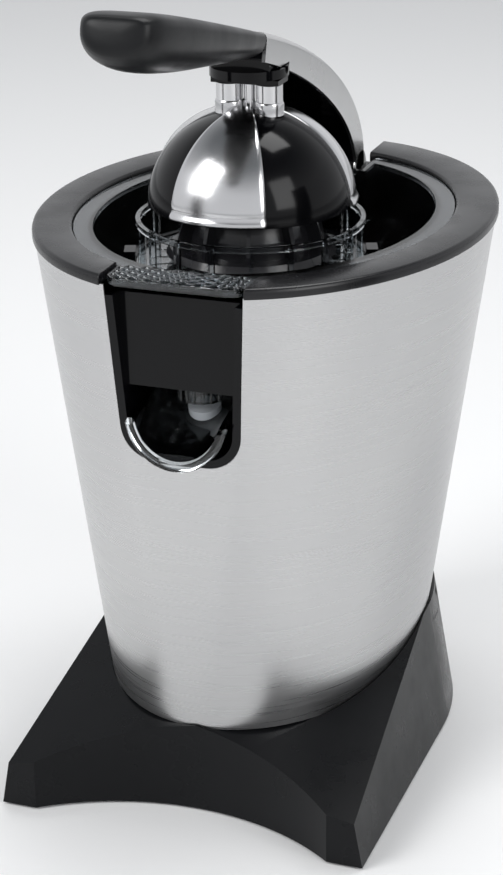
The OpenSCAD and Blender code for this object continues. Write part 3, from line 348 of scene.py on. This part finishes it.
def mouth_path(inset, top=260.0, steps=10):
    """Outline of the front opening, from the top right down and up the left."""
    r, cx, cz = MOUTH_R - inset, MOUTH_LOW_HALF - MOUTH_R, MOUTH_LOW + MOUTH_R
    lean = (MOUTH_TOP - MOUTH_LOW_HALF) / (RIM_TOP - cz)
    right = [(MOUTH_TOP - inset + lean * (top - RIM_TOP), top)]
    for i in range(steps + 1):
        a = -math.atan(lean) - (math.pi / 2 - math.atan(lean)) * i / steps
        right.append((cx + r * math.cos(a), cz + r * math.sin(a)))
    return right + [(-x, z) for x, z in reversed(right)]


def make_shell():
    levels = [lerp(SEAT, RING_LOW - 0.05, i / 40) for i in range(41)]
    rows = [shell_row(z, 0.0) for z in levels] + [shell_row(z, SHELL) for z in reversed(levels)]
    shell = loft("steel_body", rows, wrap=True)
    mouth = prism("mouth", mouth_path(0.0), "y", -200.0, 0.0)
    slot = block("slot", (-NOTCH_HALF, NOTCH_Y, NOTCH_LOW), (NOTCH_HALF, 300.0, 400.0))
    carve(shell, mouth, slot)
    return soften(shell, smooth=30)


def ring_loop(t, profile):
    """Cross-section of the rim at one bearing; offsets from the outer or the inner edge."""
    ox, oy = 100.0 * math.cos(t), 125.0 * math.sin(t)
    ix, iy = WELL_A * math.cos(t), WELL_Y + WELL_B * math.sin(t)
    width = math.hypot(ix - ox, iy - oy)
    loop = []
    for side, d, z in profile:
        f = d / width if side == "out" else 1 - d / width
        loop.append((lerp(ox, ix, f), lerp(oy, iy, f), z))
    return loop


def make_ring():
    profile = [("out", 0.0, RING_LOW), ("out", 0.0, 250.2), ("out", 0.35, 251.2), ("out", 1.0, 251.8),
               ("out", 1.9, RIM_TOP), ("in", 1.5, RIM_TOP), ("in", 0.7, 251.75), ("in", 0.2, 251.2),
               ("in", 0.0, 250.4), ("in", 0.0, RING_LOW)]
    rows = [ring_loop(math.tau * i / 240, profile) for i in range(240)]
    ring = loft("rim", rows, wrap=True)
    gap = block("gap", (-GAP_HALF, -300.0, 200.0), (GAP_HALF, 0.0, 300.0))
    slot = block("slot", (-NOTCH_HALF, NOTCH_Y, 200.0), (NOTCH_HALF, 300.0, 400.0))
    carve(ring, gap, slot)
    return soften(ring, 0.5, angle=50, smooth=40)


def base_slice(y):
    z = TOE_H + (RIDGE_H - TOE_H) / (TOE_REACH + 5) * (y + TOE_REACH)
    low, high = BASE_HALF - LEAN * 1.2, BASE_HALF - LEAN * z
    return [(-low, y, 1.2), (low, y, 1.2), (high, y, z), (0.0, y, z + 0.18 * high), (-high, y, z)]


def half_oval(a, b, z, steps=64):
    return [(a * math.cos(math.pi * i / steps), 5 + b * math.sin(math.pi * i / steps), z)
            for i in range(steps + 1)]


def hull(name, points):
    obj = new_object(name, points, [])
    bm = bmesh.new()
    for p in points:
        bm.verts.new([c * MM for c in p])
    made = bmesh.ops.convex_hull(bm, input=bm.verts)
    bmesh.ops.delete(bm, geom=made["geom_interior"], context="VERTS")
    bmesh.ops.dissolve_limit(bm, angle_limit=math.radians(0.4), verts=bm.verts, edges=bm.edges)
    bmesh.ops.recalc_face_normals(bm, faces=bm.faces)
    bm.to_mesh(obj.data)
    bm.free()
    return obj


def make_base():
    form = hull("base_body", base_slice(-TOE_REACH) + base_slice(5.0)
                + half_oval(BASE_HALF - LEAN * 1.2, SKIRT - 5, 1.2)
                + half_oval(BASE_HALF - LEAN * RIDGE_H, half_d(RIDGE_H) - 1, RIDGE_H))
    above = prism("above", [(-400.0, 400.0), (0.0, 400.0), (5.0, RIDGE_H + 1.5), (SKIRT + 5, RIDGE_H - 13.0),
                            (SKIRT + 90, RIDGE_H - 23.0), (SKIRT + 90, 400.0)], "x", -300.0, 300.0)
    centre = -TOE_REACH + ARCH_DEPTH - ARCH_R
    arch = prism("arch", [(ARCH_R * math.cos(math.tau * i / 240), centre + ARCH_R * math.sin(math.tau * i / 240))
                          for i in range(240)], "z", -5.0, 120.0)
    seat = loft("seat", [shell_row(z, -0.5, 192) for z in (SEAT, 120.0)])
    edge = [(-BASE_HALF + 8, -TOE_REACH + 8), (BASE_HALF - 8, -TOE_REACH + 8), (BASE_HALF - 8, 5.0)]
    edge += [(x * 0.905, 5 + (y - 5) * 0.92) for x, y, _ in half_oval(BASE_HALF, SKIRT - 5, 0, 40)][1:-1]
    edge += [(-BASE_HALF + 8, 5.0)]
    rebate = prism("rebate", edge, "z", -5.0, 5.6)
    keep = prism("keep", [(ARCH_R * 1.07 * math.cos(math.tau * i / 120),
                           centre + ARCH_R * 1.07 * math.sin(math.tau * i / 120)) for i in range(120)],
                 "z", -9.0, 9.0)
    carve(rebate, keep)
    carve(form, above, arch, seat, rebate)
    return soften(form, 0.9, angle=24, smooth=24)


# ---------- spout and finger lip ----------


def trough_point(x, s, h):
    c, k = math.cos(math.radians(TROUGH_SLOPE)), math.sin(math.radians(TROUGH_SLOPE))
    return (x, SPOUT_Y - s * c - h * k, SPOUT_Z - s * k + h * c)


def trough_loop(radius, end, top, steps=40):
    """Round-bottomed section across the trough at its back or at its upright front."""
    slope, loop = math.radians(TROUGH_SLOPE), []
    reach = math.degrees(math.asin(min(1.0, (TROUGH_AXIS - top) / radius)))
    upright = end > 10
    for i in range(steps + 1):
        a = math.radians(lerp(180 + reach, 360 - reach, i / steps))
        x, h = radius * math.cos(a), TROUGH_AXIS + radius * math.sin(a)
        s = end
        if upright:
            s = (end - 0.11 * (h - TROUGH_BOTTOM) - h * math.sin(slope)) / math.cos(slope)
        loop.append(trough_point(x, s, h))
    return loop


def make_trough():
    body = loft("trough", [trough_loop(TROUGH_R, -3.2, 3.1), trough_loop(TROUGH_R, 48.4, 3.1)])
    lip = loft("trough_lip", [trough_loop(22.4, 47.2, 2.9), trough_loop(22.7, 48.6, 2.8),
                              trough_loop(22.7, 50.2, 2.7), trough_loop(22.0, 51.0, 2.4)])
    carve(body, lip, operation="UNION")
    room = loft("room", [trough_loop(18.7, -1.0, 6.0), trough_loop(18.7, 48.0, 6.0), trough_loop(19.6, 53.5, 6.0)])
    pin = rod("pin_way", 1.56, 60.0, SPOUT_Y, SPOUT_Z)
    carve(body, room, pin)
    return soften(body, 0.7, angle=40, smooth=40)


def make_finger_pad(nx=116, ny=40, corner=8.0, pitch_x=7.0, pitch_y=4.6):
    """Raised diamonds on the lip of the bowl, with a rolled front edge."""
    rows = []
    for j in range(ny + 1):
        v = j / ny
        y = lerp(PAD_FRONT, PAD_BACK, v)
        nose = max(0.0, 1 - v / 0.42)
        half = PAD_HALF - corner * (1 - math.sqrt(max(0.0, 1 - nose * nose)))
        row = []
        for i in range(nx + 1):
            u = 2 * i / nx - 1
            x = half * u
            edge = min(1.0, (1 - abs(u)) * half / 1.6, (y - PAD_FRONT) / 1.6 + 0.02, (PAD_BACK - y) / 1.2 + 0.02)
            one, two = x / pitch_x + y / pitch_y, x / pitch_x - y / pitch_y
            cell = abs(math.sin(math.pi * one)) * abs(math.sin(math.pi * two))
            row.append((x, y, PAD_TOP + 1.5 * math.sqrt(max(0.0, edge)) + 0.75 * cell * max(0.0, edge)))
        rows.append(row)
    verts = [q for row in rows for q in row] + [(x, y, PAD_LOW) for row in rows for x, y, z in row]
    n, shift = nx + 1, (nx + 1) * (ny + 1)
    faces = []
    for j in range(ny):
        for i in range(nx):
            a = j * n + i
            faces += [(a, a + 1, a + n + 1, a + n), (a + shift, a + n + shift, a + n + 1 + shift, a + 1 + shift)]
    rim = [j for j in range(n)] + [j * n + n - 1 for j in range(1, ny + 1)]
    rim += [ny * n + i for i in range(nx - 1, -1, -1)] + [j * n for j in range(ny - 1, 0, -1)]
    faces += [(a, b, b + shift, a + shift) for a, b in zip(rim, rim[1:] + rim[:1])]
    return soften(new_object("finger_pad", verts, faces), smooth=60)


# ---------- lever ----------


def bezier(p, t):
    w = ((1 - t) ** 3, 3 * (1 - t) ** 2 * t, 3 * (1 - t) * t * t, t ** 3)
    return tuple(sum(wi * q[k] for wi, q in zip(w, p)) for k in (0, 1))


ARM_OUT = [(JOINT_Y, JOINT_Z), (JOINT_Y + 54, JOINT_Z - 14.5), (HINGE_Y + 9.5, HINGE_Z + 44),
           (HINGE_Y + 7.5, HINGE_Z)]
ARM_IN = [(JOINT_Y - 3, JOINT_Z - 12), (JOINT_Y + 44, JOINT_Z - 25), (HINGE_Y - 8, HINGE_Z + 32),
          (HINGE_Y - 7, HINGE_Z)]


def arc(cx, cy, r, a0, a1, steps=5):
    return [(cx + r * math.cos(math.radians(lerp(a0, a1, i / steps))),
             cy + r * math.sin(math.radians(lerp(a0, a1, i / steps)))) for i in range(steps + 1)]


def arm_section(depth, r=3.2):
    """Channel section as side offset and depth below the outer skin."""
    w, v = ARM_HALF, ARM_HALF - ARM_WALL
    outer = [(-w, depth)] + arc(-w + r, r, r, 180, 270) + arc(w - r, r, r, 270, 360) + [(w, depth)]
    q = r - ARM_WALL
    inner = [(v, depth)] + list(reversed(arc(v - q, ARM_WALL + q, q, 270, 360)))
    inner += list(reversed(arc(-v + q, ARM_WALL + q, q, 180, 270))) + [(-v, depth)]
    return outer + inner


def make_arm(rows=56):
    loops = []
    for i in range(rows + 1):
        t = i / rows
        (oy, oz), (iy, iz) = bezier(ARM_OUT, t), bezier(ARM_IN, t)
        depth = math.hypot(iy - oy, iz - oz)
        uy, uz = (iy - oy) / depth, (iz - oz) / depth
        loops.append([(x, oy + d * uy, oz + d * uz) for x, d in arm_section(depth)])
    arm = loft("lever_arm", loops)
    carve(arm, turned("mount_room", [(0.01, 250.0), (MOUNT_R + 0.4, 250.0), (MOUNT_R + 0.4, MOUNT_TOP + 0.4),
                                     (0.01, MOUNT_TOP + 0.4)], y=PRESS_Y, steps=64))
    soften(arm, 0.35, angle=50, smooth=40)
    bosses = [rod(f"lever_boss_{i}", 8.5, ARM_WALL / 2, HINGE_Y, HINGE_Z, x=s * (ARM_HALF - ARM_WALL / 2))
              for i, s in enumerate((-1, 1))]
    for boss in bosses:
        soften(boss, smooth=40)
    return [arm, *bosses]


def grip_point(x, s, h):
    c, k = math.cos(math.radians(SLOPE)), math.sin(math.radians(SLOPE))
    return (x, JOINT_Y - s * c + h * k, JOINT_Z + s * k + h * c)


GRIP = [(0.3, 15.0, 0.0, -12.0), (0.2, 17.0, 0.3, -14.8), (0.4, 18.0, 0.5, -17.6), (0.62, 18.5, 0.6, -20.6),
        (0.82, 18.0, 0.4, -22.0), (0.93, 16.6, -0.3, -21.0), (0.98, 14.4, -1.7, -18.8), (1.0, 12.4, -3.0, -17.2)]


def smooth_stations(keys, steps):
    """Catmull-Rom through the stations of the grip."""
    out = []
    for i in range(len(keys) - 1):
        a, b = keys[max(0, i - 1)], keys[i]
        c, d = keys[i + 1], keys[min(len(keys) - 1, i + 2)]
        for j in range(steps):
            t = j / steps
            out.append(tuple(0.5 * (2 * q + (r - p) * t + (2 * p - 5 * q + 4 * r - u) * t * t
                                    + (3 * q - p - 3 * r + u) * t ** 3) for p, q, r, u in zip(a, b, c, d)))
    return out + [keys[-1]]


def grip_loop(s, w, top, low, steps=48):
    """Rounded-box upper half with a flat side band over a full belly."""
    middle = lerp(top, low, 0.36)
    loop = []
    for i in range(steps):
        a = math.tau * i / steps
        c, k = math.cos(a), math.sin(a)
        n = 4.2 if k > 0 else 2.25
        x = w * math.copysign(abs(c) ** (2 / n), c)
        height = (top - middle) if k > 0 else (middle - low)
        loop.append(grip_point(x, s, middle + height * math.copysign(abs(k) ** (2 / n), k)))
    return loop


def make_grip():
    keys = [(GRIP[0][0], *GRIP[0][1:])] + [(f * GRIP_LEN, w, top, low) for f, w, top, low in GRIP[1:]]
    rows = smooth_stations(keys, 6)
    start = rows[0]
    rows.insert(0, (0.3, start[1] - 0.8, start[2] - 0.8, start[3] + 0.8))
    rows[1] = (1.1, *start[1:])
    s, w, top, low = rows[-1]
    for k, shrink in ((0.45, 0.86), (0.8, 0.62), (1.0, 0.3)):
        mid = (top + low) / 2
        rows.append((s + 1.6 * k, w * shrink, mid + (top - mid) * shrink, mid + (low - mid) * shrink))
    grip = loft("lever_grip", [grip_loop(*row) for row in rows])
    return soften(grip, smooth=50)


# ---------- press dome ----------


def petal(name, bearing, rows=40, columns=32):
    """One steel petal with a rolled foot, rounded edges and a shadow groove over the roll."""
    outer, inner = [], []
    for j in range(columns + 1):
        u = 2 * j / columns - 1
        side = math.radians(bearing + PETAL_HALF * u)
        edge = 0.7 * max(0.0, (abs(u) - 0.94) / 0.06) ** 2
        column, back = [], []
        for i in range(rows + 1):
            t = i / rows
            lift = math.radians(lerp(1.2, 82.0, t ** 1.15))
            h = DOME_H * math.sin(lift)
            roll = 0.9 * math.exp(-((h - 1.6) / 1.4) ** 2) - 0.5 * math.exp(-((h - 4.4) / 0.7) ** 2)
            r = DOME_R * math.cos(lift) + roll - 0.9 - edge
            column.append((r * math.cos(side), PRESS_Y + r * math.sin(side), DOME_LOW + h))
            q = (DOME_R - 2.6) * math.cos(lift)
            back.append((q * math.cos(side), PRESS_Y + q * math.sin(side), DOME_LOW + h * 0.94))
        outer.append(column)
        inner.append(back)
    loops = [o + b[::-1] for o, b in zip(outer, inner)]
    return soften(loft(name, loops), smooth=60)


def make_core():
    r, h = DOME_R - 2.5, DOME_H - 2.5
    profile = [(r * math.cos(math.pi / 2 * i / 32), DOME_LOW + h * math.sin(math.pi / 2 * i / 32))
               for i in range(32)] + [(0.01, DOME_LOW + h)]
    inside = [(0.01, DOME_LOW + h - 2.2)] + [((r - 2.2) * math.cos(math.pi / 2 * i / 24),
              DOME_LOW + (h - 2.2) * math.sin(math.pi / 2 * i / 24)) for i in range(23, -1, -1)]
    return soften(turned("press_core", profile + inside, y=PRESS_Y, steps=128), smooth=45)


def make_post(name, x):
    top = 312.2
    profile = [(0.01, 298.7), (6.3, 298.7), (6.3, 303.4), (6.1, 304.0), (5.8, 304.4),
               (5.8, top - 0.5), (5.4, top), (0.01, top)]
    return soften(turned(name, profile, x=x, y=PRESS_Y, steps=64), smooth=30)


# ---------- build ----------

for name, obj in NODES.items():
    slot = obj.data.materials[0].name
    obj.data.materials[0] = M[slot]

place(make_shell(), "housing", "brushed_steel", M["brushed_steel"], "body_shell")
place(make_ring(), "housing", "rim_plastic", M["rim_plastic"], "rim_ring")
place(make_base(), "housing", "black_base", M["black_base"], "base")
place(make_trough(), "spout", "clear_plastic", M["clear_plastic"], "spout_trough")
place(make_finger_pad(), "housing", "clear_plastic", M["smoky_plastic"])
NODES["juice_bowl"].data.materials[0] = M["smoky_plastic"]
arm = make_arm()
place(arm[0], "lever", "arm_silver", M["arm_silver"], "arm_cover")
for part in arm[1:]:
    place(part, "lever", "arm_silver", M["arm_silver"])
place(make_grip(), "lever", "grip_plastic", M["grip_plastic"], "grip")
petals = [petal(f"press_petal_{k}", -90 + 120 * k) for k in range(3)]
for part in petals:
    place(part, "dome", "polished_steel", M["polished_steel"], "dome_petals")
place(make_core(), "dome", "black_gloss", M["black_gloss"], "dome_core")
for k, side in enumerate((-9.0, 9.0)):
    place(make_post(f"press_post_{k}", side), "dome", "polished_steel", M["polished_steel"], "dome_posts")

# ---------- stage, lights and camera ----------

FLOOR = 6000
floor = new_object("floor", [(-FLOOR, -FLOOR, 0), (FLOOR, -FLOOR, 0), (FLOOR, FLOOR, 0), (-FLOOR, FLOOR, 0)],
                   [(0, 1, 2, 3)])
floor.data.materials.append(Shader("floor", (0.86, 0.86, 0.86), 0.6).mat)

world = bpy.data.worlds.new("studio")
bpy.context.scene.world = world
world.use_nodes = True
backdrop = world.node_tree
coord = backdrop.nodes.new("ShaderNodeTexCoord")
split = backdrop.nodes.new("ShaderNodeSeparateXYZ")
ramp = backdrop.nodes.new("ShaderNodeValToRGB")
backdrop.links.new(coord.outputs["Generated"], split.inputs["Vector"])
backdrop.links.new(split.outputs["Z"], ramp.inputs["Fac"])
backdrop.links.new(ramp.outputs["Color"], backdrop.nodes["Background"].inputs["Color"])
ramp.color_ramp.elements[0].position, ramp.color_ramp.elements[0].color = 0.0, (0.80, 0.81, 0.83, 1.0)
ramp.color_ramp.elements[1].position, ramp.color_ramp.elements[1].color = 0.85, (0.16, 0.17, 0.18, 1.0)
bend = ramp.color_ramp.elements.new(0.45)
bend.color = (0.74, 0.75, 0.77, 1.0)
bpy.context.scene.view_settings.view_transform = "Standard"


def area_light(name, place_at, aim, size, power, size_y=None):
    data = bpy.data.lights.new(name, "AREA")
    data.shape, data.size, data.size_y = "RECTANGLE", size, size_y or size
    data.energy = power
    lamp = bpy.data.objects.new(name, data)
    bpy.context.scene.collection.objects.link(lamp)
    lamp.location = place_at
    lamp.rotation_mode = "QUATERNION"
    lamp.rotation_quaternion = (Vector(aim) - Vector(place_at)).to_track_quat("-Z", "Y")
    return lamp


def flag(name, azimuth, distance, width, low, high):
    """A dark card that is only seen in reflections."""
    a = math.radians(azimuth)
    cx, cy = 1000 * distance * math.sin(a), -1000 * distance * math.cos(a)
    ux, uy = 500 * width * math.cos(a), 500 * width * math.sin(a)
    card = new_object(name, [(cx - ux, cy - uy, low * 1000), (cx + ux, cy + uy, low * 1000),
                             (cx + ux, cy + uy, high * 1000), (cx - ux, cy - uy, high * 1000)], [(0, 1, 2, 3)])
    card.data.materials.append(Shader(name, (0.02, 0.02, 0.02), 0.9, Specular_IOR_Level=0.0).mat)
    card.visible_camera = card.visible_diffuse = card.visible_shadow = card.visible_transmission = False


flag("dark_card_left", -37.0, 0.75, 0.16, 0.0, 0.55)
flag("dark_card_right", 78.0, 0.9, 0.30, 0.0, 0.7)

area_light("key", (-1.3, -1.5, 1.7), (0, 0, 0.15), 1.0, 34, 1.4)
area_light("fill", (1.6, -0.9, 1.1), (0, 0, 0.15), 0.9, 14, 1.3)
area_light("top", (0.1, 0.5, 1.9), (0, 0, 0.2), 1.2, 16, 0.7)

AZIMUTH, ELEVATION, ROLL = math.radians(20.0), math.radians(21.9), math.radians(-0.6)
back = Vector((math.sin(AZIMUTH) * math.cos(ELEVATION), -math.cos(AZIMUTH) * math.cos(ELEVATION),
               math.sin(ELEVATION)))
level_right = Vector((math.cos(AZIMUTH), math.sin(AZIMUTH), 0.0))
level_up = back.cross(level_right)
right = math.cos(ROLL) * level_right + math.sin(ROLL) * level_up
up = back.cross(right)
camera = bpy.data.objects.new("camera", bpy.data.cameras.new("camera"))
bpy.context.scene.collection.objects.link(camera)
camera.data.lens = 92.6
camera.data.sensor_width = 36.0
camera.data.clip_start, camera.data.clip_end = 0.05, 40.0
CAMERA_AT = (0.3218, -0.9098, 0.5282)
camera.matrix_world = (Matrix.Translation(CAMERA_AT)
                       @ Matrix((right, up, back)).transposed().to_4x4())
bpy.context.scene.camera = camera
